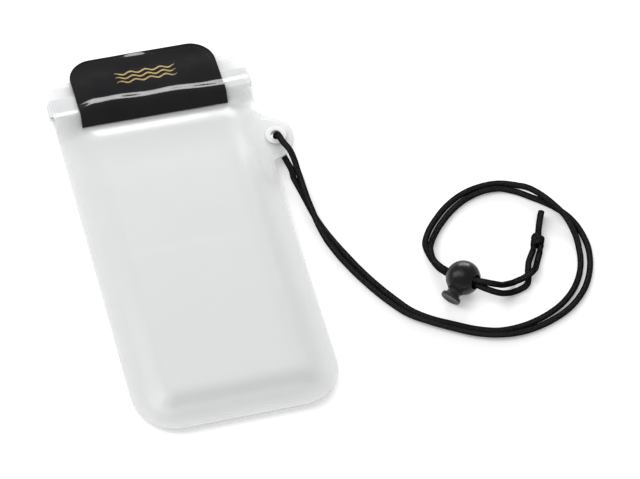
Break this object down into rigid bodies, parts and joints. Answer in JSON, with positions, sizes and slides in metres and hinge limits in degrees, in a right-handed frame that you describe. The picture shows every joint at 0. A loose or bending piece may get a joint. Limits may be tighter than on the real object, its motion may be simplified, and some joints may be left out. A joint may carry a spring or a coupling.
{
  "type": "waterproof phone pouch",
  "caption": "Clear film pouch with a press zip, a black closing flap over its mouth, and a doubled neck cord through an eyelet with a sprung ball lock and a knot.",
  "frame": {"origin": "under the middle of the pouch, on its flat back face, on the surface it lies on", "axes": "+Y along the pouch towards its mouth, +Z out of its front film, +X towards the side with the eyelet"},
  "size_m": [0.2277, 0.2053, 0.016],
  "materials": {
    "clear_film": "satin",
    "zip_plastic": "gloss",
    "black_film": "gloss",
    "hook_tape": "matte",
    "loop_tape": "matte",
    "eyelet_plastic": "gloss",
    "cord_braid": "matte",
    "lock_plastic": "satin",
    "spring_steel": "bright"
  },
  "bodies": {
    "pouch": {"back_film": "clear_film", "front_film": "clear_film", "zip_rib_strip": "zip_plastic", "zip_channel_strip": "zip_plastic", "front_flap": "black_film", "back_flap": "black_film", "hook_strip": "hook_tape", "loop_strip": "loop_tape", "eyelet": "eyelet_plastic", "neck_cord": "cord_braid", "cord_knot": "cord_braid", "lock_ball": "lock_plastic", "lock_spring": "spring_steel"},
    "lock_button": {"lock_button": "lock_plastic"}
  },
  "joints": [
    {"name": "button_press", "type": "slide", "parent": "pouch", "child": "lock_button", "axis": [0.6982, 0.6736, 0.2422], "range_m": [0, 0.002], "stiffness_N_per_m": 1500, "springref_m": -0.002, "deforming": ["lock_spring"]}
  ]
}
